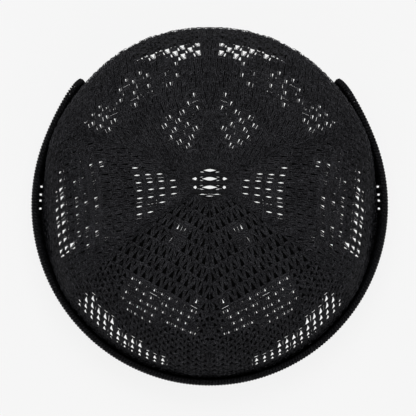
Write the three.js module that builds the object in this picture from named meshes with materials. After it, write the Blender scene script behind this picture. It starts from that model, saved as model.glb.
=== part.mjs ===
// Brimless cap: an open-work knitted crown of six gores, with a cuff turned up outside the hem.
// Millimetres, +Z up. The origin is under the middle of the cap, on the surface that it rests on. The
// front is towards -Y, and the cuff is open at the back, towards +Y.
import * as THREE from "three";

// Driving dimensions
const headWidth = 187; // head opening across, inside the wall at its widest level
const headLength = 189; // head opening front to back, inside the wall
const crownWall = 3; // knitted wall of the crown
const crownHeight = 92; // hem to the top of the crown
const topBack = 9.4; // how far the top centre lies behind the middle of the hem
const widestHeight = 22; // level where the wall is widest, above the hem
const frontFullness = 2.4; // 2 is an elliptic dome, more is squarer at the shoulder
const sideFullness = 2.6;
const backFullness = 2.9;
const hemDraw = 0.6; // how far the wall draws in from its widest level to the hem
const sideFlat = 4.6; // how far the side gores are flattened at their middles
const endFlat = 0.4; // the same for the front and back gores
const flatRise = 26; // height over which the flattening grows from the hem
const cuffHeight = 30; // hem to the cuff's top edge
const cuffWall = 3; // thickness of the cuff
const cuffLean = 0.3; // how far the cuff's top edge leans out at the sides
const cuffFrontLean = 0.8; // how much further it leans out at the front
const cuffGap = 0.3; // clearance between the crown's widest level and the cuff
const cuffOpening = 90; // degrees left open at the back
const cuffCorner = 13; // radius of the cuff's two rear top corners
const cuffFlare = 2.4; // how far those corners stand off the wall
const cuffFlareRun = 42; // length of band over which they come away
const cuffLip = 1.2; // rounding of the cuff's top edge

// Spokes, where the gores meet, in degrees counter-clockwise from +X. The back gores are the widest.
const spokes = [-34, 24, 90, 156, 214, 270];
const sideGores = [0, 3];
const columns = 13;
const degree = Math.PI / 180;

const crownHalf = { x: headWidth / 2 + crownWall, y: headLength / 2 + crownWall };

// The crown from the top centre outwards. Each row starts a ring at a share of the half width, on the
// dome, and open names the columns of every gore that are left open from there to the next row.
const domeRows = [
  { share: 0.035, open: [] },
  { share: 0.055, open: [4, 5, 6, 7, 8] },
  { share: 0.115, open: [] },
  { share: 0.215, open: [6] },
  { share: 0.275, open: [] },
  { share: 0.295, open: [5, 7] },
  { share: 0.355, open: [] },
  { share: 0.375, open: [4, 6, 8] },
  { share: 0.44, open: [] },
  { share: 0.54, open: [] },
  { share: 0.64, open: [2, 4, 6, 8, 10] },
  { share: 0.76, open: [] },
  { share: 0.81, open: [2, 4, 6, 8, 10] },
  { share: 0.88, open: [] },
  { share: 0.9, open: [3, 5, 7, 9] },
  { share: 0.95, open: [] },
  { share: 0.98, open: [] },
  { share: 0.99, open: [] },
];

// The wall below the dome, from its widest level to the hem, as shares of that level's height.
const wallRows = [{ level: 1 }, { level: 0.5 }, { level: 0 }];

// Point of an ellipse with half widths of the given size, at an angle in radians.
function ellipseRadius(half, angle) {
  return 1 / Math.hypot(Math.cos(angle) / half.x, Math.sin(angle) / half.y);
}

// Angles of the column lines, counter-clockwise, with the share of the way across their gore.
function columnLines() {
  const lines = [];
  spokes.forEach((start, gore) => {
    const end = gore + 1 < spokes.length ? spokes[gore + 1] : spokes[0] + 360;
    const flat = sideGores.includes(gore) ? sideFlat : endFlat;
    for (let column = 0; column < columns; column += 1) {
      const across = column / columns;
      const angle = (start + (end - start) * across) * degree;
      lines.push({ angle, column, flat: flat * Math.sin(Math.PI * across) ** 2 });
    }
  });
  return lines;
}

// The dome's fullness in a direction: squarest at the back, softest at the front.
function fullnessAt(angle) {
  const sine = Math.sin(angle);
  const end = sine > 0 ? backFullness : frontFullness;
  return sideFullness + (end - sideFullness) * sine ** 2;
}

// How much of the flattening there is at a height: none at the hem, all of it from flatRise up.
function flattening(line, z) {
  return line.flat * Math.min(z / flatRise, 1);
}

// Point on the crown's dome, inset by part of the wall. Its rings lie further back the higher they are.
function domePoint(line, share, inset) {
  const fullness = fullnessAt(line.angle);
  const rise = (1 - share ** fullness) ** (1 / fullness);
  const z = widestHeight + (crownHeight - inset - widestHeight) * rise;
  const half = ellipseRadius(crownHalf, line.angle) - inset;
  const [x, y] = ringPoint(line.angle, share * (half - flattening(line, z)), z);
  return [x, y + topBack * rise, z];
}

// Point on the wall between the widest level and the hem.
function wallPoint(line, level, inset) {
  const z = widestHeight * level;
  const drawn = ellipseRadius(crownHalf, line.angle) - inset - hemDraw * (1 - level) ** 2;
  return ringPoint(line.angle, drawn - flattening(line, z), z);
}

function ringPoint(angle, radius, z) {
  return [radius * Math.cos(angle), radius * Math.sin(angle), z];
}

// A closed shell from a grid of outer and inner points, with the open cells cut right through. Rows
// run outwards and down, and columns run counter-clockwise all the way round.
function piercedShell(rows, lines, pole) {
  const positions = [];
  const index = [];
  const wide = lines.length;
  const add = (point) => positions.push(...point) / 3 - 1;
  const sheets = [0, crownWall].map((inset) => ({
    pole: add(pole(inset)),
    grid: rows.map((row) => lines.map((line) => add(row.point(line, inset)))),
  }));
  const [outer, inner] = sheets;
  const triangle = (a, b, c) => index.push(a, b, c);
  const quad = (a, b, c, d) => {
    triangle(a, b, c);
    triangle(a, c, d);
  };
  const isOpen = (row, column) => rows[row].open.includes(lines[(column + wide) % wide].column);
  for (let column = 0; column < wide; column += 1) {
    const next = (column + 1) % wide;
    triangle(outer.pole, outer.grid[0][column], outer.grid[0][next]);
    triangle(inner.pole, inner.grid[0][next], inner.grid[0][column]);
    for (let row = 0; row + 1 < rows.length; row += 1) {
      const corners = ({ grid }) => [
        grid[row][column],
        grid[row + 1][column],
        grid[row + 1][next],
        grid[row][next],
      ];
      const [a, b, c, d] = corners(outer);
      const [e, f, g, h] = corners(inner);
      if (!isOpen(row, column)) {
        quad(a, b, c, d);
        quad(h, g, f, e);
        continue;
      }
      quad(d, a, e, h);
      quad(b, c, g, f);
      if (!isOpen(row, column - 1)) quad(a, b, f, e);
      if (!isOpen(row, column + 1)) quad(c, d, h, g);
    }
    const outerHem = outer.grid[rows.length - 1];
    const innerHem = inner.grid[rows.length - 1];
    quad(outerHem[column], innerHem[column], innerHem[next], outerHem[next]);
  }
  return indexedGeometry(positions, index);
}

function indexedGeometry(positions, index) {
  const geometry = new THREE.BufferGeometry();
  geometry.setAttribute("position", new THREE.Float32BufferAttribute(positions, 3));
  geometry.setIndex(index);
  geometry.computeVertexNormals();
  return geometry;
}

function crownGeometry() {
  const rows = [
    ...domeRows.map(({ share, open }) => ({
      open,
      point: (line, inset) => domePoint(line, share, inset),
    })),
    ...wallRows.map(({ level }) => ({
      open: [],
      point: (line, inset) => wallPoint(line, level, inset),
    })),
  ];
  return piercedShell(rows, columnLines(), (inset) => [0, topBack, crownHeight - inset]);
}

// Sections of the cuff, from one rear end round the front to the other, with the top edge lowered
// along a quarter circle at each corner. Along is the length of band from the nearer end.
function cuffSections() {
  const start = 90 + cuffOpening / 2;
  const sweep = 360 - cuffOpening;
  const middleRadius = (crownHalf.x + crownHalf.y) / 2 + cuffGap + cuffWall / 2;
  const bandLength = sweep * degree * middleRadius;
  const cornerSteps = 5;
  const bodySteps = 52;
  const alongs = [];
  for (let step = 0; step < cornerSteps; step += 1) {
    alongs.push(cuffCorner * (1 - Math.cos((step / cornerSteps) * (Math.PI / 2))));
  }
  const body = bandLength - 2 * cuffCorner;
  for (let step = 0; step <= bodySteps; step += 1) {
    alongs.push(cuffCorner + (body * step) / bodySteps);
  }
  for (let step = cornerSteps - 1; step >= 0; step -= 1) {
    alongs.push(bandLength - cuffCorner * (1 - Math.cos((step / cornerSteps) * (Math.PI / 2))));
  }
  return alongs.map((along) => {
    const fromEnd = Math.min(along, bandLength - along);
    const inCorner = Math.max(cuffCorner - fromEnd, 0);
    const top = cuffHeight - cuffCorner + Math.sqrt(cuffCorner ** 2 - inCorner ** 2);
    const flare = cuffFlare * Math.max(1 - fromEnd / cuffFlareRun, 0) ** 2;
    const angle = (start + (sweep * along) / bandLength) * degree;
    const frontLean = cuffFrontLean * Math.max(-Math.sin(angle), 0) ** 2;
    return { angle, top, lean: cuffLean + frontLean + flare };
  });
}

// Outline of the band's section, inside up and outside down: how far through the band, how high as a
// share of the section's top, and how far below that in lip roundings.
const cuffOutline = [
  { through: 0, rise: 0, below: 0 },
  { through: 0, rise: 0.35, below: 0 },
  { through: 0, rise: 0.7, below: 0 },
  { through: 0, rise: 1, below: 1 },
  { through: 0.3, rise: 1, below: 0 },
  { through: 0.7, rise: 1, below: 0 },
  { through: 1, rise: 1, below: 1 },
  { through: 1, rise: 0.7, below: 0 },
  { through: 1, rise: 0.35, below: 0 },
  { through: 1, rise: 0, below: 0 },
];

function cuffGeometry() {
  const sections = cuffSections().map(({ angle, top, lean }) =>
    cuffOutline.map(({ through, rise, below }) => {
      const z = rise * top - below * cuffLip;
      const level = z / cuffHeight;
      const out = cuffGap + through * cuffWall + lean * level;
      return ringPoint(angle, ellipseRadius(crownHalf, angle) + out, z);
    }),
  );
  const around = cuffOutline.length;
  const positions = sections.flat(2);
  const index = [];
  for (let section = 0; section + 1 < sections.length; section += 1) {
    for (let side = 0; side < around; side += 1) {
      const a = section * around + side;
      const b = section * around + ((side + 1) % around);
      index.push(a, b, b + around);
      index.push(a, b + around, a + around);
    }
  }
  const last = (sections.length - 1) * around;
  for (let rung = 0; rung + 1 < around / 2; rung += 1) {
    const left = rung;
    const right = around - 1 - rung;
    index.push(left, right, right - 1);
    index.push(left, right - 1, left + 1);
    index.push(last + left, last + right - 1, last + right);
    index.push(last + left, last + left + 1, last + right - 1);
  }
  return indexedGeometry(positions, index);
}

const knit = new THREE.MeshStandardMaterial({ color: "#1d1d20", roughness: 0.9, metalness: 0 });
const ribKnit = new THREE.MeshStandardMaterial({ color: "#18181b", roughness: 0.95, metalness: 0 });

const crown = new THREE.Mesh(crownGeometry(), knit);
crown.name = "crown";

const cuff = new THREE.Mesh(cuffGeometry(), ribKnit);
cuff.name = "cuff";

// How far the back of the dome bulges past the hem, because the dome leans back as it rises
function backBulge() {
  const steepness = (topBack / crownHalf.y) ** (1 / (backFullness - 1));
  const spread = (1 + steepness ** backFullness) ** (1 / backFullness);
  return (crownHalf.y + topBack * steepness) / spread - crownHalf.y;
}

// The cuff reaches past the crown at the front alone, and the crown bulges at the back, so the cap
// moves by half of the difference.
const cap = new THREE.Group();
cap.add(crown, cuff);
cap.position.y = (cuffGap + cuffWall + cuffLean + cuffFrontLean - backBulge()) / 2;

export default cap;
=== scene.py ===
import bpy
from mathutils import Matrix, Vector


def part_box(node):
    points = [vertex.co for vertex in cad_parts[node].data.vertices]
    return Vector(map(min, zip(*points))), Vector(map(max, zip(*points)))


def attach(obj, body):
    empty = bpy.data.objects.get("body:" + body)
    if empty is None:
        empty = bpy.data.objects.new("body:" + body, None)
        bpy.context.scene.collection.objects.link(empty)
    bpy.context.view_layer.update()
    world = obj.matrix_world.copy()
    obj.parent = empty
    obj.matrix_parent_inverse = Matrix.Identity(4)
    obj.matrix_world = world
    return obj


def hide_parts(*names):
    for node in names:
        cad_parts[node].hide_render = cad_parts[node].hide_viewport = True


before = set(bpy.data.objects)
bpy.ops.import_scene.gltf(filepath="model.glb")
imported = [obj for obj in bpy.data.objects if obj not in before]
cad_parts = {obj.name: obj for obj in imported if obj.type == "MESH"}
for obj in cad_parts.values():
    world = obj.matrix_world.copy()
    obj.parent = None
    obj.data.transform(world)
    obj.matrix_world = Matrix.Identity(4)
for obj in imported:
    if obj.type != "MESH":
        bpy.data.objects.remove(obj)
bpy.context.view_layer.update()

# Brimless cap in black cotton yarn: six open-work gores, a lattice rosette at the top centre, and a
# turned-up cuff that is open at the back. Metres. The front is towards -Y. The right half mirrors the
# left half, so only the left gores are laid out, and the stitches are yarns, modelled flat and laid
# on the cap's surface.
import math

import bpy
import numpy as np
from mathutils import Vector

MM = 0.001
DEGREE = math.pi / 180

# The crown. Its front is its box's front, and its back bulges out, because it leans back as it rises.
crown_low, crown_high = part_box("crown")
HALF_LENGTH = 97.5 * MM
HALF_WIDTH = 96.5 * MM
AXIS_Y = crown_low[1] + HALF_LENGTH  # the middle of the hem
CROWN_HEIGHT = crown_high[2]
TOP_BACK = 9.8 * MM  # how far the top centre lies behind the middle of the hem
WIDEST_HEIGHT = 22 * MM
FRONT_FULLNESS = 2.4  # 2 would be an elliptic dome
SIDE_FULLNESS = 2.6
BACK_FULLNESS = 2.9
HEM_DRAW = 0.6 * MM  # how far the hem is drawn in
FLAT_RISE = 26 * MM  # height from which a gore is flattened in full
BACK_CORNER = 1.2 * MM  # how far the dome stands out between the middle of the back and the cuff's ends
BACK_CORNER_REACH = 55  # degrees from the middle of the back

# The cuff
CUFF_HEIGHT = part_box("cuff")[1][2]
CUFF_GAP = 0.3 * MM
CUFF_WALL = 3 * MM
CUFF_LEAN = 0.9 * MM  # how far its top leans out
CUFF_FRONT_LEAN = 0.1 * MM  # how much more at the front
CUFF_OPENING = 90  # degrees
CUFF_CORNER = 13 * MM
CUFF_FLARE = 3.2 * MM  # how much more at its two ends
CUFF_FLARE_RUN = 42 * MM

# The knit
WALE = 4.7 * MM  # width of one stitch, modelled flat
COURSE = 6 * MM  # length of the same stitch
YARN_DEPTH = 1.1 * MM  # from the outer surface to the middle of the stitches
VEIL_DEPTH = 2.5 * MM  # the same for the inner layer behind the veiled vents
SEAM_ZONE = 1.3 * MM  # width into which stitches are drawn together at a spoke
SEAM_LAP = 0.45 * MM  # how far they reach over the spoke
SPINE = 6.8 * MM  # half width of the plain strip down the middle of the back
GATHER = 0.72  # width of the columns by the top centre, as a share of their full width
GATHER_REACH = 60 * MM  # plan radius from which they have their full width
ROSETTE_REACH = 9.5 * MM  # where the gores' first row begins, from the top centre
EDGE_PITCH = 1.75 * MM  # from one cast-off stitch to the next

# The three left gores. Angles are degrees, counter-clockwise from +X, and lengths are millimetres. The
# columns run along the direction middle and are wale wide, and beyond the plan radius lean_from they turn
# by the angle lean. flat is how far the gore's middle is flattened. brick is the share of a row by which
# every other column is set further out. rows gives the row length at plan radii, stitch is the close
# stitch outside the vents, and fibres the loose fibres on each of them. Each vent lies between two angles
# and between an inner and an outer plan radius, each given at both angles, and above a height. veiled is
# the share of its stitches with an inner layer behind them.
GORES = [
    {
        "name": "back", "start": 90, "end": 156, "middle": 110, "wale": 4.25, "flat": 0.4,
        "lean": -14, "lean_from": 50, "brick": 0.5,
        "rows": {0: 7.2, 40: 7.2, 60: 7, 75: 7.2, 97: 7.6},
        "stitch": "plain", "fibres": 5,
        "vents": [
            {
                "angles": (97, 131), "inner": (20, 27), "outer": (52, 42), "above": 0,
                "stitch": "small_net", "veiled": 0.25,
            },
            {
                "angles": (104, 152), "inner": (58, 64), "outer": (73, 81), "above": 0,
                "stitch": "small_net", "veiled": 0.25,
            },
            {
                "angles": (93, 120), "inner": (69.5, 84), "outer": (93, 98), "above": 42,
                "stitch": "scalene", "veiled": 0,
            },
        ],
    },
    {
        "name": "side", "start": 156, "end": 214, "middle": 185, "wale": 4.65, "flat": 4.6,
        "lean": 13, "lean_from": 62, "brick": 0,
        "rows": {0: 7.4, 20: 6.2, 45: 6.2, 60: 6.6, 80: 6.6, 86: 8.4, 97: 8.4},
        "stitch": "plain", "fibres": 5,
        "vents": [
            {
                "angles": (167, 206), "inner": (18, 18), "outer": (44, 44), "above": 0,
                "stitch": "lens", "veiled": 0.15,
            },
            {
                "angles": (164, 208), "inner": (61, 64), "outer": (76, 78), "above": 0,
                "stitch": "small_net", "veiled": 0.6,
            },
            {
                "angles": (170, 201), "inner": (82.5, 82.5), "outer": (86, 93), "above": 0,
                "stitch": "net", "veiled": 0,
            },
        ],
    },
    {
        "name": "front", "start": 214, "end": 270, "middle": 242, "wale": 4.65, "flat": 0.4,
        "lean": 20, "lean_from": 80, "brick": 0,
        "rows": {0: 8, 57: 8, 61: 5, 84: 5, 87: 6.8, 97: 6.8},
        "stitch": "drop", "fibres": 3,
        "vents": [
            {
                "angles": (231, 243), "inner": (27, 27), "outer": (41, 41), "above": 0,
                "stitch": "small_net", "veiled": 0.5,
            },
            {
                "angles": (229, 264), "inner": (64, 64), "outer": (82, 80), "above": 0,
                "stitch": "small_net", "veiled": 0.2,
            },
            {
                "angles": (219, 256), "inner": (87, 94.5), "outer": (99, 99), "above": 25,
                "stitch": "wide_net", "veiled": 0,
            },
        ],
    },
]
LEFT_SPOKES = [gore["start"] for gore in GORES] + [GORES[-1]["end"]]
SPOKES = sorted(LEFT_SPOKES + [180 - spoke for spoke in LEFT_SPOKES[1:-1]])


# Helpers

def select_only(*pieces):
    bpy.ops.object.select_all(action="DESELECT")
    for piece in pieces:
        piece.select_set(True)
    bpy.context.view_layer.objects.active = pieces[0]


def joined(pieces, name):
    select_only(*pieces)
    if len(pieces) > 1:
        bpy.ops.object.join()
    pieces[0].name = pieces[0].data.name = name
    return pieces[0]


def walled(sheet, thickness):
    """A sheet given a wall, half to each side, with its faces pointing out."""
    select_only(sheet)
    thick = sheet.modifiers.new("thick", "SOLIDIFY")
    thick.thickness = thickness
    thick.offset = 0
    bpy.ops.object.modifier_apply(modifier="thick")
    bpy.ops.object.mode_set(mode="EDIT")
    bpy.ops.mesh.select_all(action="SELECT")
    bpy.ops.mesh.normals_make_consistent(inside=False)
    bpy.ops.object.mode_set(mode="OBJECT")
    sheet.data.shade_smooth()
    return sheet


def sine_step(value):
    """0 to 1 with soft ends."""
    value = np.clip(value, 0, 1)
    return value * value * (3 - 2 * value)


# Materials

def linear(hex_colour):
    """An sRGB hex colour as a linear colour with alpha."""
    parts = [int(hex_colour[i:i + 2], 16) / 255 for i in (1, 3, 5)]
    return (*[c / 12.92 if c <= 0.04045 else ((c + 0.055) / 1.055) ** 2.4 for c in parts], 1)


def add_node(tree, kind, settings=None, **inputs):
    """Adds a node, sets its settings and inputs, and links each input that is another node's output."""
    node = tree.nodes.new(kind)
    for name, value in (settings or {}).items():
        setattr(node, name, value)
    for name, value in inputs.items():
        socket = node.inputs[int(name[1:])] if name[1:].isdigit() else node.inputs[name.replace("_", " ")]
        if isinstance(value, bpy.types.NodeSocket):
            tree.links.new(value, socket)
        else:
            socket.default_value = value
    return node


def new_material(name):
    material = bpy.data.materials.new(name)
    material.use_nodes = True
    material.node_tree.nodes.clear()
    return material, material.node_tree


def finish_material(tree, surface):
    output = add_node(tree, "ShaderNodeOutputMaterial")
    tree.links.new(surface, output.inputs["Surface"])


def cotton_yarn(name, valley, crest, gloss):
    """Spun, dyed and unmercerised cotton: matt, with a fibrous grain and a slightly uneven dye."""
    material, tree = new_material(name)
    place = add_node(tree, "ShaderNodeTexCoord").outputs["Object"]
    fibre_width = 0.6 * MM  # real fibres are finer than a pixel, so their grain is drawn this coarse
    blotch_width = 9 * MM
    fibres = add_node(
        tree, "ShaderNodeTexNoise",
        Vector=place, Scale=1 / fibre_width, Detail=2.0, Roughness=0.6,
    )
    blotches = add_node(tree, "ShaderNodeTexNoise", Vector=place, Scale=1 / blotch_width, Detail=2.0)
    both = add_node(
        tree, "ShaderNodeMath", {"operation": "MULTIPLY_ADD"},
        _0=blotches.outputs["Fac"], _1=0.12, _2=fibres.outputs["Fac"],
    )
    ramp = add_node(tree, "ShaderNodeValToRGB", Fac=both.outputs[0])
    ramp.color_ramp.elements[0].position = 0.5
    ramp.color_ramp.elements[0].color = linear(valley)
    ramp.color_ramp.elements[1].position = 0.7
    ramp.color_ramp.elements[1].color = linear(crest)
    bump = add_node(tree, "ShaderNodeBump", Height=fibres.outputs["Fac"], Strength=0.6, Distance=0.15 * MM)
    shader = add_node(
        tree, "ShaderNodeBsdfPrincipled",
        Base_Color=ramp.outputs["Color"], Normal=bump.outputs["Normal"],
        Roughness=0.75, IOR=1.5, Specular_IOR_Level=gloss,
        Sheen_Weight=0.02, Sheen_Roughness=0.5, Sheen_Tint=linear("#90929a"),
    )
    finish_material(tree, shader.outputs["BSDF"])
    return material


# The outer yarns vary in tone at random along their grain, lightest on its crests. The inner faces lie in
# the shade of the knit and are given a near-black colour, painted shade. The loose fibres are given a
# lighter colour, a painted highlight, and the tighter yarn of the cuff and rosette a darker one, painted
# shade.
YARN = cotton_yarn("black_cotton_yarn", "#0b0b0c", "#363639", 0.04)
INNER_YARN_PAINTED_SHADE = cotton_yarn("black_cotton_inner_face_painted_shade", "#030303", "#070707", 0.02)
FIBRE_PAINTED_HIGHLIGHT = cotton_yarn("black_cotton_loose_fibres_painted_highlight", "#242427", "#545458", 0.08)
DENSE_YARN_PAINTED_SHADE = cotton_yarn("black_cotton_dense_yarn_painted_shade", "#080809", "#222224", 0.05)
INNER_RIB_PAINTED_SHADE = cotton_yarn("black_cotton_rib_inner_face_painted_shade", "#040405", "#090909", 0.02)

# The order of the materials on a gore
YARN_SLOT, INNER_PAINTED_SHADE_SLOT, FIBRE_SLOT = 0, 1, 2


# Surfaces of the cap

def ellipse_radius(angle):
    return 1 / np.hypot(np.cos(angle) / HALF_WIDTH, np.sin(angle) / HALF_LENGTH)


def fullness(angle):
    """How square the dome is in a direction: squarest at the back, softest at the front."""
    sine = np.sin(angle)
    end = np.where(sine > 0, BACK_FULLNESS, FRONT_FULLNESS)
    return SIDE_FULLNESS + (end - SIDE_FULLNESS) * sine ** 2


def crown_radius_height(gore, angle, path, inset):
    """Plan radius and height, inset from the outer surface. path is 0 at the top centre, 1 at the widest
    level and 2 at the hem."""
    full = fullness(angle)
    share = np.clip(path, 0, 1)
    rise = np.maximum(1 - share ** full, 0) ** (1 / full)
    dome = WIDEST_HEIGHT + (CROWN_HEIGHT - inset - WIDEST_HEIGHT) * rise
    level = np.clip(2 - path, 0, 1)
    height = np.where(path > 1, WIDEST_HEIGHT * level, dome)
    across = (angle / DEGREE - gore["start"]) / (gore["end"] - gore["start"])
    flat = gore["flat"] * MM * np.sin(np.pi * np.clip(across, 0, 1)) ** 2
    turned = np.abs(angle / DEGREE - 90)
    bulge = np.sin(np.pi * turned / BACK_CORNER_REACH) ** 2
    flat = flat - BACK_CORNER * np.where(turned < BACK_CORNER_REACH, bulge, 0)
    drawn = HEM_DRAW * (1 - level) ** 2
    radius = ellipse_radius(angle) - inset - flat * np.minimum(height / FLAT_RISE, 1) - drawn
    return share * radius, height


def crown_spot(angle, radius, height):
    """Point of the crown. Its rings lie further back the higher they are."""
    rise = np.clip((height - WIDEST_HEIGHT) / (CROWN_HEIGHT - WIDEST_HEIGHT), 0, 1)
    y = AXIS_Y + TOP_BACK * rise + radius * np.sin(angle)
    return np.stack([radius * np.cos(angle), y, height], axis=-1)


def course_path(path, turn):
    """The row through a point of the gore's middle line, at an angle from it: straight near the top
    centre, and round the cap at the wall."""
    bending = 0.4  # share of the path over which the rows turn from straight to round
    straight = np.clip((1 - path) / bending, 0, 1)
    return np.where(path < 1, path * (1 + straight * (1 / np.cos(turn) - 1)), path)


def middle_line(gore):
    """Lengths along the gore's middle line, with the path and plan radius there."""
    middle = gore["middle"] * DEGREE
    steps = np.linspace(0, 1, 1500)
    path = np.concatenate([np.sin(steps * np.pi / 2), 1 + steps[1:]])
    radius, height = crown_radius_height(gore, middle, path, 0)
    line = crown_spot(middle, radius, height)
    length = np.concatenate([[0], np.cumsum(np.linalg.norm(np.diff(line, axis=0), axis=1))])
    return length, path, radius


def gathering(reach):
    """Width of the columns at a plan radius, as a share of their full width."""
    return GATHER + (1 - GATHER) * sine_step(reach / GATHER_REACH)


def leaning(gore, reach):
    """How far to the side the gore's columns have leaned at a plan radius."""
    return math.tan(gore["lean"] * DEGREE) * np.maximum(reach - gore["lean_from"] * MM, 0)


def gore_place(gore, across, length, depth):
    """Angle, plan radius and height of the place across the gore's columns and down its middle line."""
    lengths, paths, radii = gore["line"]
    path = np.interp(length, lengths, paths)
    reach = np.interp(length, lengths, radii)
    middle = gore["middle"] * DEGREE
    offset = across * gathering(reach) + leaning(gore, reach)
    # The turn from the middle line is found step by step, each a mean of the last turn and a better one.
    widest, steepest, steps = 1.2, 0.95, 9
    turn = np.arctan2(offset, reach)
    for _ in range(steps):
        limited = np.clip(turn, -widest, widest)
        radius, _height = crown_radius_height(gore, middle + limited, course_path(path, limited), depth)
        sine = np.clip(offset / np.maximum(radius, 1e-5), -steepest, steepest)
        turn = 0.45 * limited + 0.55 * np.arcsin(sine)
    # Past the edge of the zone by the spoke the stitches are drawn ever closer together.
    half = np.where(turn < 0, gore["middle"] - gore["start"], gore["end"] - gore["middle"]) * DEGREE
    across_half = np.maximum(radius * half, 4 * MM)
    share = np.abs(turn) / half
    edge = 1 - (SEAM_ZONE - SEAM_LAP) / across_half
    zone = SEAM_ZONE / across_half
    beyond = np.maximum(share - edge, 0)
    share = np.minimum(share, edge) + zone * (1 - np.exp(-beyond / zone))
    turn = np.sign(turn) * share * half
    angle = middle + turn
    radius, height = crown_radius_height(gore, angle, course_path(path, turn), depth)
    return angle, radius, height


def gore_edge(gore, length):
    """How far the gore reaches to each side of its middle line at a length down it, across its columns."""
    lengths, paths, radii = gore["line"]
    reach = np.interp(length, lengths, radii)
    path = np.interp(length, lengths, paths)
    middle = gore["middle"] * DEGREE
    sides = []
    for edge in (gore["start"], gore["end"]):
        turn = edge * DEGREE - middle
        radius, _height = crown_radius_height(gore, middle + turn, course_path(path, turn), 0)
        sides.append((radius * math.sin(turn) - leaning(gore, reach)) / gathering(reach))
    return sides


def gore_rows(gore):
    """Lengths down the middle line where the rows begin, with the last at the hem."""
    lengths, _paths, radii = gore["line"]
    sizes = gore["rows"]
    starts = [ROSETTE_REACH]
    while starts[-1] < lengths[-1]:
        reach = np.interp(starts[-1], lengths, radii) / MM
        starts.append(starts[-1] + np.interp(reach, list(sizes), list(sizes.values())) * MM)
    scale = (lengths[-1] - ROSETTE_REACH) / (starts[-2] - ROSETTE_REACH)
    return [ROSETTE_REACH + (start - ROSETTE_REACH) * scale for start in starts[:-1]]


def vent_at(gore, across, length):
    """The vent that a place on the gore lies in, or None."""
    angle, radius, height = gore_place(gore, np.array([across]), np.array([length]), np.array([0.0]))
    degrees = math.degrees(angle[0]) % 360
    if degrees < 180 and radius[0] * abs(math.cos(angle[0])) < SPINE:
        return None
    for vent in gore["vents"]:
        share = (degrees - vent["angles"][0]) / (vent["angles"][1] - vent["angles"][0])
        if 0 <= share <= 1 and height[0] > vent["above"] * MM:
            inner = np.interp(share, (0, 1), vent["inner"]) * MM
            outer = np.interp(share, (0, 1), vent["outer"]) * MM
            if inner <= radius[0] <= outer:
                return vent
    return None


# Stitches, modelled flat in millimetres, then laid on the cap

STITCH_LENGTH = COURSE / MM
HALF_WALE = WALE / MM / 2


def yarn(points, corners=6):
    """A yarn through points of x, y, height and thickness in millimetres, with closed ends and a section
    of 4 or 6 corners."""
    curve = bpy.data.curves.new("yarn", "CURVE")
    curve.dimensions = "3D"
    curve.bevel_depth = 1
    curve.bevel_resolution = (corners - 4) // 2
    curve.use_fill_caps = True
    spline = curve.splines.new("POLY")
    spline.points.add(len(points) - 1)
    for place, (x, y, height, thickness) in zip(spline.points, points):
        place.co = (x * MM, y * MM, height * MM, 1)
        place.radius = thickness * MM / 2
    piece = bpy.data.objects.new("yarn", curve)
    bpy.context.collection.objects.link(piece)
    select_only(piece)
    bpy.ops.object.convert(target="MESH")
    return bpy.context.object


def rung(y, height, thickness, sag=0.0):
    """A yarn across the stitch, from edge to edge."""
    reach = HALF_WALE + 0.1
    ends = height - sag
    points = [(-reach, y, ends, thickness), (0, y - sag, height, thickness), (reach, y, ends, thickness)]
    return yarn(points, corners=4)


def legs(points, skew=0.0, corners=6):
    """A leg of the stitch on each side of its middle. skew carries their inner ends to one side."""
    pieces = []
    for side in (-1, 1):
        moved = []
        for x, y, height, thickness in points:
            moved.append((side * x + skew * (1 - y / STITCH_LENGTH), y, height, thickness))
        pieces.append(yarn(moved, corners))
    return pieces


# Open stitches in millimetres, 6 long: the hole runs from apex to base and is hole wide on each side.
# bow is 0 for a triangular hole and 1 for a lens. A slit lies beyond each leg. skew leans the hole.
OPEN_STITCHES = {
    "net": {"apex": 0.7, "base": 5.0, "hole": 1.3, "leg": 0.6, "slit": 0.15, "bow": 0, "skew": -0.8},
    "wide_net": {"apex": 0.5, "base": 5.4, "hole": 1.4, "leg": 0.7, "slit": 0, "bow": 0, "skew": 0},
    "scalene": {"apex": 1.4, "base": 4.8, "hole": 1.6, "leg": 0.4, "slit": 0.35, "bow": 0, "skew": -1.8},
    "small_net": {"apex": 1.9, "base": 4.0, "hole": 0.45, "leg": 1.0, "slit": 0.06, "bow": 0, "skew": -0.6},
    "lens": {"apex": 1.5, "base": 4.5, "hole": 0.45, "leg": 1.0, "slit": 0, "bow": 0.85, "skew": 0},
}


def open_stitch(name, apex, base, hole, leg, slit, bow, skew):
    """Open-work stitch: legs on both sides of a hole, finer strands beyond them, and rungs across."""
    inner, outer = [], []
    for share in (-0.15, 0.1, 0.5, 0.9, 1.15):
        y = apex + (base - apex) * share
        inside = min(max(share, 0), 1)
        width = hole * ((1 - bow) * inside + bow * math.sin(math.pi * inside))
        inner.append((width + leg / 2, y, 0.15, leg))
        edge = min(width + leg + slit * (1 - 0.6 * inside), HALF_WALE - 0.3)
        outer.append(((edge + HALF_WALE) / 2, y, 0, HALF_WALE + 0.05 - edge))
    rungs = []
    lap, thickest_rung = 0.05, 1.1
    for low, high in ((-lap, apex), (base, STITCH_LENGTH + lap)):
        count = math.ceil((high - low) / thickest_rung)
        pitch = (high - low) / count
        rungs += [rung(low + pitch * (order + 0.5), 0.1, pitch + 0.12) for order in range(count)]
    return joined([*legs(inner, skew), *legs(outer, skew, corners=4), *rungs], name)


def veil_stitch():
    """Stitch of the inner layer, whose thick yarns leave only hair-fine slits."""
    middle = [(0, -0.5, 0, 1.35), (0.2, 2, 0.1, 1.4), (-0.15, 4, 0, 1.4), (0.1, 6.5, 0, 1.35)]
    beside = [(1.55, -0.5, 0, 1.4), (1.65, 2, 0, 1.3), (1.5, 4, 0.1, 1.4), (1.6, 6.5, 0, 1.4)]
    return joined([yarn(middle), *legs(beside, corners=4), rung(6.0, 0.3, 0.8, 0.2)], "veil")


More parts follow.
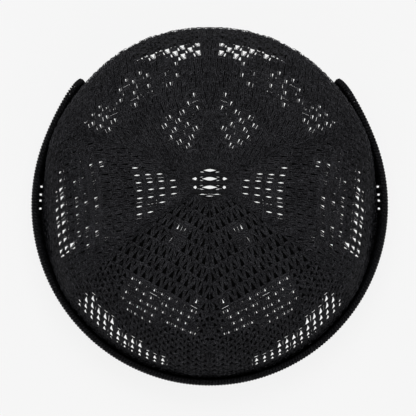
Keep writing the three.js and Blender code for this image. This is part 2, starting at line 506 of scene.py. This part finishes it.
def inner_face():
    """The closed inner face of one stitch, a thin pad that bulges inwards like a purl bump."""
    overlap = 1.1
    bpy.ops.mesh.primitive_cube_add(size=1, location=(0, COURSE / 2, -1.05 * MM))
    pad = bpy.context.object
    pad.scale = (WALE * overlap, COURSE * overlap, 0.5 * MM)
    bpy.ops.object.transform_apply(location=True, rotation=True, scale=True)
    bpy.ops.object.mode_set(mode="EDIT")
    bpy.ops.mesh.select_all(action="SELECT")
    bpy.ops.mesh.subdivide(number_cuts=1)
    bpy.ops.object.mode_set(mode="OBJECT")
    near = 0.1 * MM
    for vertex in pad.data.vertices:
        x, y, height = vertex.co
        if abs(x) < near and abs(y - COURSE / 2) < near and height < -1.2 * MM:
            vertex.co.z -= 0.35 * MM
    return pad


def close_stitch(name, inner, outer, backed=True):
    """Close stitch: two legs on each side of its middle and a rung, over the closed inner face."""
    pieces = [*legs(inner), *legs(outer, corners=4), rung(6.1, 0.2, 0.8, 0.4)]
    if backed:
        pieces.append(inner_face())
    stitch = joined(pieces, name)
    face_level = -0.75 * MM  # below it lies only the inner face
    # Faces below that level are the inner face. They take a near-black colour, painted shade, which keeps
    # the holes dark.
    for face in stitch.data.polygons:
        face.material_index = INNER_PAINTED_SHADE_SLOT if face.center.z < face_level else YARN_SLOT
    return stitch


# Legs of the close stitches: x, y, height and thickness in millimetres
DROP_INNER = [
    (0.2, -0.3, 0.6, 0.8), (0.65, 1.8, 0.5, 0.8), (1.3, 4.0, 0.1, 0.75), (1.6, 6.0, -0.3, 0.75),
]
DROP_OUTER = [
    (1.2, -0.5, 0.2, 0.95), (1.55, 1.8, 0.5, 1.0), (1.95, 3.9, 0.35, 0.95), (2.2, 6.1, -0.1, 0.9),
]
PLAIN_INNER = [
    (0.35, -0.3, 0.5, 0.9), (0.45, 1.8, 0.45, 0.95), (0.72, 4.0, 0.2, 0.95), (0.85, 6.0, -0.1, 0.95),
]
PLAIN_OUTER = [
    (1.35, -0.5, 0.2, 1.0), (1.5, 1.8, 0.4, 1.05), (1.8, 3.9, 0.3, 1.0), (2.0, 6.1, 0, 1.0),
]


def loose_fibre():
    """A fibre that has come loose from the yarn and lies on the knit."""
    return yarn([(0.5, -2.2, -0.1, 0.08), (0, 0, 0.15, 0.34), (0.4, 2.2, -0.1, 0.08)], corners=4)


def flat_points(stitch):
    """The stitch's vertices as places across its column, along its row and above its middle."""
    points = np.empty(len(stitch.data.vertices) * 3)
    stitch.data.vertices.foreach_get("co", points)
    return points.reshape(-1, 3)


def laid_copies(name, stitch, places):
    """A piece made of copies of the stitch's mesh, with the vertices of each copy at their places."""
    source = stitch.data
    copies, size = places.shape[:2]
    corners = np.empty(len(source.loops), dtype=np.int32)
    starts = np.empty(len(source.polygons), dtype=np.int32)
    slots = np.empty(len(source.polygons), dtype=np.int32)
    source.loops.foreach_get("vertex_index", corners)
    source.polygons.foreach_get("loop_start", starts)
    source.polygons.foreach_get("material_index", slots)
    order = np.arange(copies, dtype=np.int32)[:, None]
    mesh = bpy.data.meshes.new(name)
    mesh.vertices.add(copies * size)
    mesh.vertices.foreach_set("co", places.ravel())
    mesh.loops.add(copies * len(corners))
    mesh.loops.foreach_set("vertex_index", (corners + order * size).ravel())
    mesh.polygons.add(copies * len(starts))
    mesh.polygons.foreach_set("loop_start", (starts + order * len(corners)).ravel())
    mesh.polygons.foreach_set("material_index", np.tile(slots, copies))
    mesh.update(calc_edges=True)
    mesh.shade_smooth()
    piece = bpy.data.objects.new(name, mesh)
    bpy.context.collection.objects.link(piece)
    return piece


def laid_on_gore(name, stitch, gore, cells, depth, loose, random):
    """Copies of a stitch on the given cells of the gore, each cell a column and a row's two ends. loose
    is how unevenly they lie."""
    flat = flat_points(stitch)
    column, start, end = (np.array(cells)[:, i, None] for i in range(3))
    sway = loose * random.uniform(-1, 1, (len(cells), 1, 3)) * [0.14 * MM, 0.2 * MM, 0.12 * MM]
    swell = random.uniform(0.94, 1.06, (len(cells), 1))
    across = (column + (flat[None, :, 0] + sway[:, :, 0]) / WALE) * gore["wale"] * MM
    y = flat[None, :, 1] + sway[:, :, 1]
    height = flat[None, :, 2] * swell + sway[:, :, 2]
    length = start + y / COURSE * (end - start)
    length = np.clip(length, 0, gore["line"][0][-1] - 0.5 * MM)
    places = crown_spot(*gore_place(gore, across, length, depth - height))
    return laid_copies(name, stitch, places)


def fibres_on_gore(name, fibre, gore, cells, random):
    """Loose fibres scattered over the given cells, turned all ways."""
    count = len(cells) * gore["fibres"]
    flat = flat_points(fibre)
    column, start, end = np.array(cells)[random.integers(0, len(cells), count)].T[:, :, None]
    spin = random.uniform(-1.4, 1.4, (count, 1))
    size = random.uniform(0.35, 0.85, (count, 1))
    x = size * (np.cos(spin) * flat[:, 0] - np.sin(spin) * flat[:, 1])
    y = size * (np.sin(spin) * flat[:, 0] + np.cos(spin) * flat[:, 1])
    across = (column + random.uniform(-0.5, 0.5, (count, 1))) * gore["wale"] * MM + x
    length = start + random.uniform(0, 1, (count, 1)) * (end - start) + y
    length = np.clip(length, 0, gore["line"][0][-1] - 0.5 * MM)
    depth = random.uniform(-0.1, 0.3, (count, 1)) * MM - flat[:, 2]
    piece = laid_copies(name, fibre, crown_spot(*gore_place(gore, across, length, depth)))
    # The loose fibres take a lighter colour, a painted highlight.
    for face in piece.data.polygons:
        face.material_index = FIBRE_SLOT
    return piece


def crown_gore(gore, stitches, random):
    """One gore of the crown: close stitches, open ones in its vents, and loose fibres."""
    gore["line"] = middle_line(gore)
    rows = gore_rows(gore)
    laid = {gore["stitch"]: [], "veil": []}
    for start, end in zip(rows, rows[1:]):
        middle = (start + end) / 2
        edges = [*gore_edge(gore, start), *gore_edge(gore, middle), *gore_edge(gore, min(end, rows[-1]))]
        low, high = min(edges), max(edges)
        first = math.ceil((low - SEAM_ZONE / 2) / (gore["wale"] * MM) - 0.5)
        last = math.floor((high + SEAM_ZONE / 2) / (gore["wale"] * MM) + 0.5)
        for column in range(first, last + 1):
            late = gore["brick"] * (column % 2) * (end - start)
            cell = (column, start + late, end + late)
            if late and start == rows[0]:
                laid[gore["stitch"]].append((column, start, start + late))
            vent = vent_at(gore, column * gore["wale"] * MM, middle + late)
            kind = vent["stitch"] if vent else gore["stitch"]
            laid.setdefault(kind, []).append(cell)
            if vent and random.random() < vent["veiled"]:
                laid["veil"].append(cell)
    name = f"crown_{gore['name']}_left"
    parts = []
    for kind, cells in laid.items():
        depth, loose = (VEIL_DEPTH, 3) if kind == "veil" else (YARN_DEPTH, 1)
        parts.append(laid_on_gore(name, stitches[kind], gore, cells, depth, loose, random))
    parts.append(fibres_on_gore(name, stitches["fibre"], gore, laid[gore["stitch"]], random))
    for part in parts:
        # Slots: the yarn, the inner face in near-black painted shade, and the loose fibres in a lighter
        # painted highlight.
        for material in (YARN, INNER_YARN_PAINTED_SHADE, FIBRE_PAINTED_HIGHLIGHT):
            part.data.materials.append(material)
    return joined(parts, name)


def gore_joins():
    """The closed inner face behind the lines where the gores meet."""
    half_width, depth, wall = 2.6 * MM, 2.4 * MM, 0.7 * MM
    path_start, path_length = 0.14, 1.84
    ribbons = []
    for spoke in SPOKES:
        bpy.ops.mesh.primitive_grid_add(x_subdivisions=3, y_subdivisions=70, size=1)
        ribbon = bpy.context.object
        flat = flat_points(ribbon)
        path = path_start + (flat[:, 1] + 0.5) * path_length
        plain = {"start": spoke - 30, "end": spoke + 30, "flat": 0}  # no gore is flattened at its sides
        radius, _height = crown_radius_height(plain, spoke * DEGREE, path, depth)
        angle = spoke * DEGREE + flat[:, 0] * 2 * half_width / radius
        radius, height = crown_radius_height(plain, angle, path, depth)
        ribbon.data.vertices.foreach_set("co", crown_spot(angle, radius, height).ravel())
        ribbons.append(walled(ribbon, wall))
    joins = joined(ribbons, "crown_joins")
    # The joins take the inner face's near-black colour, painted shade.
    joins.data.materials.append(INNER_YARN_PAINTED_SHADE)
    return joins


def mirrored_copy(piece, name):
    """The same piece on the right side, turned inside out by the mirror and put right again."""
    select_only(piece)
    bpy.ops.object.duplicate()
    copy = bpy.context.object
    copy.name = copy.data.name = name
    bpy.ops.object.mode_set(mode="EDIT")
    bpy.ops.mesh.select_all(action="SELECT")
    bpy.ops.transform.mirror(
        constraint_axis=(True, False, False), orient_type="GLOBAL", center_override=(0, 0, 0),
    )
    bpy.ops.mesh.flip_normals()
    bpy.ops.object.mode_set(mode="OBJECT")
    return copy


# The rosette at the top centre: rows of lens-shaped holes between pairs of waving yarns

# Lens rows in millimetres: y of the row, half the height and half the length of its middle lens, and
# half the height of the drops at its sides
LENS_ROWS = [(7.2, 0.7, 3.7, 0), (2.53, 0.95, 4.5, 1.0), (-2.15, 0.9, 4.5, 1.0), (-7.0, 0.2, 2.4, 0)]
DROP_START, DROP_LENGTH = 6.9, 3.2
# The strand between two rows: its thickness at distances from the middle. It is thin beside the slits.
STRAND = [(-10, 3.15), (-5.4, 3.15), (-4.7, 2.5), (-3.5, 2.45), (-2.7, 2.9), (0, 2.5)]
# The rounds of yarn about the lattice: how far out each lies, and its thickness
ROUNDS = [(0, 1.7), (1.6, 2.0), (3.2, 2.0)]


def lens_gap(x, lens_height, lens_length, drop_height):
    """Half the gap between the two yarns of a row, a little below 0 where they touch."""
    x = abs(x)
    past = (x - DROP_START) / DROP_LENGTH
    if x < lens_length:
        return lens_height * math.cos(math.pi * x / lens_length / 2) ** 1.5
    if drop_height and 0 < past < 1:
        return drop_height * (math.sin(math.pi * past / 0.6) if past < 0.3 else ((1 - past) / 0.7) ** 1.4)
    return -0.1


def rosette():
    """The lattice at the top centre, modelled in millimetres about it."""
    half_width, half_length = 10.9, 8.8
    thickness = 0.9
    row_steps, round_steps = 40, 48
    top = (CROWN_HEIGHT - YARN_DEPTH) / MM
    strands = []

    def reach_at(y):
        return half_width * math.sqrt(max(1 - (y / half_length) ** 2, 0.1))

    for row, *sizes in LENS_ROWS:
        reach = reach_at(row)
        for side in (-1, 1):
            points = []
            for step in range(row_steps + 1):
                x = reach * (2 * step / row_steps - 1)
                bend = side * (thickness / 2 + lens_gap(x, *sizes))
                points.append((x, row + bend, top, thickness))
            strands.append(yarn(points))
    rows = [row for row, *_sizes in LENS_ROWS]
    for upper, lower in zip(rows, rows[1:]):
        middle = (upper + lower) / 2
        half = [(x, middle, top - 0.4, thick) for x, thick in STRAND]
        strands.append(yarn(half + [(-x, y, height, thick) for x, y, height, thick in half[-2::-1]]))
    for grow, thick in ROUNDS:
        rim = []
        for step in range(round_steps + 1):
            angle = 2 * math.pi * step / round_steps
            x, y = (half_width + grow) * math.cos(angle), (half_length + grow) * math.sin(angle)
            rim.append((x, y, top - 0.2 - 0.25 * grow, thick))
        strands.append(yarn(rim))
    piece = joined(strands, "crown_rosette")
    piece.data.shade_smooth()
    for vertex in piece.data.vertices:
        vertex.co.y += AXIS_Y + TOP_BACK
    # The rosette's darker yarn colour is painted shade.
    piece.data.materials.append(DENSE_YARN_PAINTED_SHADE)
    return piece


# The cuff

def band_length():
    sweep = (360 - CUFF_OPENING) * DEGREE
    return sweep * ((HALF_WIDTH + HALF_LENGTH) / 2 + CUFF_GAP + CUFF_WALL / 2)


def cuff_point(along, rise, depth):
    """Point of the cuff from the length of band, the share of its height and the depth in its wall."""
    whole = band_length()
    start = (90 + CUFF_OPENING / 2) * DEGREE
    angle = start + (360 - CUFF_OPENING) * DEGREE * along / whole
    from_end = np.clip(np.minimum(along, whole - along), 0, None)
    in_corner = np.clip(CUFF_CORNER - from_end, 0, CUFF_CORNER)
    top = CUFF_HEIGHT - CUFF_CORNER + np.sqrt(CUFF_CORNER ** 2 - in_corner ** 2)
    height = rise * top
    level = height / CUFF_HEIGHT
    flare = CUFF_FLARE * np.clip(1 - from_end / CUFF_FLARE_RUN, 0, 1) ** 2
    lean = CUFF_LEAN + CUFF_FRONT_LEAN * np.clip(-np.sin(angle), 0, 1) ** 2 + flare
    radius = ellipse_radius(angle) + CUFF_GAP + CUFF_WALL - depth + lean * level
    return np.stack([radius * np.cos(angle), AXIS_Y + radius * np.sin(angle), height], axis=-1)


def edge_stitch():
    """Cast-off stitch: one yarn over the edge of the knit, from its outer face to its inner one."""
    over = [
        (-0.9, -2.0, 0.9, 1.1), (-0.5, -0.9, 1.15, 1.2), (-0.1, 0.1, 0.95, 1.3), (0.3, 0.55, 0, 1.3),
        (0.7, 0.1, -0.95, 1.3), (1.0, -0.9, -1.15, 1.2), (1.3, -2.0, -0.9, 1.1),
    ]
    return yarn(over)


def cuff(stitches, random):
    """The cuff's knit: close stitches over a ribbed inner band."""
    whole = band_length()
    margin = 1.6 * MM
    columns = round((whole - 2 * margin) / WALE)
    rows = 5
    faces_across = 6  # of each rib
    band_foot, band_share = 0.02, 0.95  # of the cuff's height
    knit_foot, knit_share = 0.015, 0.97
    bpy.ops.mesh.primitive_grid_add(x_subdivisions=columns * faces_across, y_subdivisions=12, size=1)
    band = bpy.context.object
    flat = flat_points(band)
    along = margin + (flat[:, 0] + 0.5) * (whole - 2 * margin)
    rib = 0.22 * MM * np.cos(2 * np.pi * columns * (flat[:, 0] + 0.5))
    rise = band_foot + (flat[:, 1] + 0.5) * band_share
    band.data.vertices.foreach_set("co", cuff_point(along, rise, 2.0 * MM + rib).ravel())
    walled(band, 1.2 * MM)
    # The ribbed inner band is near-black, painted shade.
    band.data.materials.append(INNER_RIB_PAINTED_SHADE)

    stitch = stitches["rib"]
    flat = flat_points(stitch)
    cells = np.array([(column, row) for column in range(columns) for row in range(rows)])
    sway = random.uniform(-1, 1, (len(cells), 1, 3)) * [0.12 * MM, 0.15 * MM, 0.1 * MM]
    width = (whole - 2 * margin) / columns
    along = margin + (cells[:, :1] + 0.5) * width + flat[None, :, 0] + sway[:, :, 0]
    rise = (cells[:, 1:] + (flat[None, :, 1] + sway[:, :, 1]) / COURSE) / rows * knit_share + knit_foot
    places = cuff_point(along, rise, YARN_DEPTH - flat[None, :, 2] * 0.8)
    places[:, :, 2] = np.maximum(places[:, :, 2], 0.1 * MM)
    outside = laid_copies("cuff_knit", stitch, places)
    # The cuff's darker yarn colour is painted shade.
    outside.data.materials.append(DENSE_YARN_PAINTED_SHADE)
    return joined([outside, band], "cuff_knit")


# Places where a loose stitch of the fold lets the floor show, in degrees on the left and mirrored on the
# right, with half their width in degrees and the depths in the cuff between which they lie
FOLD_GAPS = (173.3, 175.6, 178.0, 180.4)
HALF_FOLD_GAP = 0.3
FOLD_GAP_DEPTHS = (2.2 * MM, 3.8 * MM)


def cuff_fold():
    """The fold at the hem, where the crown's wall turns up into the cuff."""
    whole = band_length()
    from_crown, into_cuff = CUFF_WALL + CUFF_GAP + HEM_DRAW + 0.6 * MM, 1.2 * MM
    bpy.ops.mesh.primitive_grid_add(x_subdivisions=400, y_subdivisions=6, size=1)
    fold = bpy.context.object
    flat = flat_points(fold)
    along = (flat[:, 0] + 0.5) * whole
    across = flat[:, 1] + 0.5
    places = cuff_point(along, np.zeros(len(flat)), into_cuff + (from_crown - into_cuff) * across)
    lowest, curl = 0.7 * MM, 0.7 * MM
    places[:, 2] = lowest + curl * (2 * across - 1) ** 2
    fold.data.vertices.foreach_set("co", places.ravel())
    bpy.ops.object.mode_set(mode="EDIT")
    bpy.ops.mesh.select_mode(type="FACE")
    bpy.ops.mesh.select_all(action="DESELECT")
    bpy.ops.object.mode_set(mode="OBJECT")
    for face in fold.data.polygons:
        x, y, _z = face.center
        angle = math.degrees(math.atan2(y - AXIS_Y, -abs(x))) % 360
        depth = ellipse_radius(math.radians(angle)) + CUFF_GAP + CUFF_WALL - math.hypot(x, y - AXIS_Y)
        near = min(abs(angle - gap) for gap in FOLD_GAPS) < HALF_FOLD_GAP
        face.select = near and FOLD_GAP_DEPTHS[0] < depth < FOLD_GAP_DEPTHS[1]
    bpy.ops.object.mode_set(mode="EDIT")
    bpy.ops.mesh.delete(type="FACE")
    bpy.ops.object.mode_set(mode="OBJECT")
    walled(fold, 0.9 * MM)
    fold.name = fold.data.name = "cuff_fold"
    # The fold is near-black, painted shade in the gap between crown and cuff.
    fold.data.materials.append(INNER_RIB_PAINTED_SHADE)
    return fold


def along_edge(name, stitch, spots, outs, closed, material):
    """Copies of the edge stitch at spots along an edge, with the direction out of the edge at each."""
    ahead = np.roll(spots, -1, axis=0) - np.roll(spots, 1, axis=0)
    if not closed:
        ahead[0] = spots[1] - spots[0]
        ahead[-1] = spots[-1] - spots[-2]
    ahead /= np.linalg.norm(ahead, axis=1)[:, None]
    through = np.cross(ahead, outs)
    through /= np.linalg.norm(through, axis=1)[:, None]
    flat = flat_points(stitch)
    places = (
        spots[:, None, :]
        + flat[None, :, :1] * ahead[:, None, :]
        + flat[None, :, 1:2] * outs[:, None, :]
        + flat[None, :, 2:] * through[:, None, :]
    )
    piece = laid_copies(name, stitch, places)
    piece.data.materials.append(material)
    return piece


def cuff_edge(stitch):
    """The cast-off edge, up one end of the cuff, along its top and down the other end."""
    whole = band_length()
    inset = 1.2 * MM
    end_steps, top_steps = 60, 900
    rises = np.linspace(0.03, 0.97, end_steps)
    alongs = np.linspace(inset, whole - inset, top_steps)
    middle = CUFF_WALL / 2
    up = cuff_point(np.full(end_steps, inset), rises, middle)
    top = cuff_point(alongs, np.full(top_steps, 1.0), middle)
    down = cuff_point(np.full(end_steps, whole - inset), rises[::-1], middle)
    path = np.concatenate([up, top[1:-1], down])
    below_top, lowest = 1.3 * MM, 2.2 * MM
    path[:, 2] = np.maximum(path[:, 2] - below_top, lowest)
    lengths = np.concatenate([[0], np.cumsum(np.linalg.norm(np.diff(path, axis=0), axis=1))])
    count = round(lengths[-1] / EDGE_PITCH)
    even = np.linspace(0, lengths[-1], count)
    spots = np.stack([np.interp(even, lengths, path[:, i]) for i in range(3)], axis=-1)
    ahead = np.gradient(spots, axis=0)
    ahead /= np.linalg.norm(ahead, axis=1)[:, None]
    centre = np.array([0, AXIS_Y, 0])
    radial = (spots - centre) * [1, 1, 0]
    radial /= np.linalg.norm(radial, axis=1)[:, None]
    outs = np.cross(radial, ahead)
    outs /= np.linalg.norm(outs, axis=1)[:, None]
    # The cast-off edge takes the same darker yarn colour, painted shade.
    return along_edge("cuff_edge", stitch, spots, outs, False, DENSE_YARN_PAINTED_SHADE)


def crown_hem(stitch):
    """The crown's cast-off edge at the head opening, resting on the surface."""
    count = round(2 * math.pi * HALF_WIDTH / EDGE_PITCH)
    angles = np.linspace(0, 2 * math.pi, count, endpoint=False)
    inset, level = 1.6 * MM, 1.25 * MM
    radius = ellipse_radius(angles) - HEM_DRAW - inset
    x, y = radius * np.cos(angles), AXIS_Y + radius * np.sin(angles)
    spots = np.stack([x, y, np.full(count, level)], axis=-1)
    outs = np.tile([0.0, 0.0, -1.0], (count, 1))
    return along_edge("crown_hem", stitch, spots, outs, True, YARN)


# The stitches and the pieces

def build():
    random = np.random.default_rng(7)
    bpy.ops.object.select_all(action="DESELECT")
    stitches = {name: open_stitch(name, **sizes) for name, sizes in OPEN_STITCHES.items()}
    stitches |= {
        "veil": veil_stitch(), "fibre": loose_fibre(),
        "drop": close_stitch("drop", DROP_INNER, DROP_OUTER),
        "plain": close_stitch("plain", PLAIN_INNER, PLAIN_OUTER),
        "rib": close_stitch("rib", PLAIN_INNER, PLAIN_OUTER, backed=False),
    }
    edge = edge_stitch()
    crown_parts = []
    for gore in GORES:
        left = crown_gore(gore, stitches, random)
        right = mirrored_copy(left, f"crown_{gore['name']}_right")
        crown_parts += [left, right]
    crown_parts += [gore_joins(), rosette(), crown_hem(edge)]
    cuff_parts = [cuff(stitches, random), cuff_edge(edge), cuff_fold()]
    for parts, node, slot in ((crown_parts, "crown", "open_work_knit"), (cuff_parts, "cuff", "cuff_knit")):
        for part in parts:
            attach(part, "root")
            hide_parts(node)
    for stitch in (*stitches.values(), edge):
        bpy.data.objects.remove(stitch)


build()


# Stage, light and camera

def pale_surface():
    """Opal acrylic over soft light: an even pale surface without a hard shadow."""
    material, tree = new_material("opal_acrylic")
    shader = add_node(
        tree, "ShaderNodeBsdfPrincipled",
        Base_Color=linear("#404040"), Roughness=0.9, Specular_IOR_Level=0.1,
        Emission_Color=linear("#ffffff"), Emission_Strength=0.86,
    )
    finish_material(tree, shader.outputs["BSDF"])
    return material


def add_stage():
    bpy.ops.mesh.primitive_plane_add(size=12, location=(0, 0, -0.2 * MM))
    ground = bpy.context.object
    ground.name = "ground"
    ground.data.materials.append(pale_surface())
    world = bpy.data.worlds.new("studio")
    bpy.context.scene.world = world
    world.use_nodes = True
    background = world.node_tree.nodes["Background"]
    background.inputs["Color"].default_value = linear("#f5f5f5")
    background.inputs["Strength"].default_value = 0.36


def show_true_colours():
    """The picture keeps the hex colours as they are, with the floor near white and the yarn near black."""
    bpy.context.scene.view_settings.view_transform = "Standard"


def add_light(name, place, size, power):
    light = bpy.data.lights.new(name, "AREA")
    light.shape = "DISK"
    light.size = size
    light.energy = power
    lamp = bpy.data.objects.new(name, light)
    bpy.context.collection.objects.link(lamp)
    lamp.location = place
    lamp.rotation_euler = (-Vector(place)).to_track_quat("-Z", "Y").to_euler()


def add_camera():
    """Nearly straight above, a little from the front, framed so that a pixel is 0.565 mm."""
    elevation = 88 * DEGREE
    distance = 2.5
    pixels, pixel = 416, 0.565
    picture_width = pixels * pixel * MM
    cuff_level = 28 * MM  # where a pixel has this size
    cap_aside = 0.95 * MM  # how far right of the picture's middle the cap stands
    aim = Vector((-cap_aside, AXIS_Y, 0))
    axis_above_centre = 0.6 * MM
    camera = bpy.data.objects.new("camera", bpy.data.cameras.new("camera"))
    bpy.context.collection.objects.link(camera)
    back = Vector((0, -math.cos(elevation), math.sin(elevation)))
    up = Vector((0, math.sin(elevation), math.cos(elevation)))
    camera.location = aim - up * axis_above_centre + back * distance
    camera.rotation_euler = (-back).to_track_quat("-Z", "Y").to_euler()
    camera.data.lens = camera.data.sensor_width * (distance - cuff_level) / picture_width
    bpy.context.scene.camera = camera


add_stage()
show_true_colours()
add_light("key", place=(0.0, 0.5, 1.4), size=0.9, power=18)
add_light("fill", place=(0.0, -1.1, 0.9), size=1.0, power=5)
add_camera()
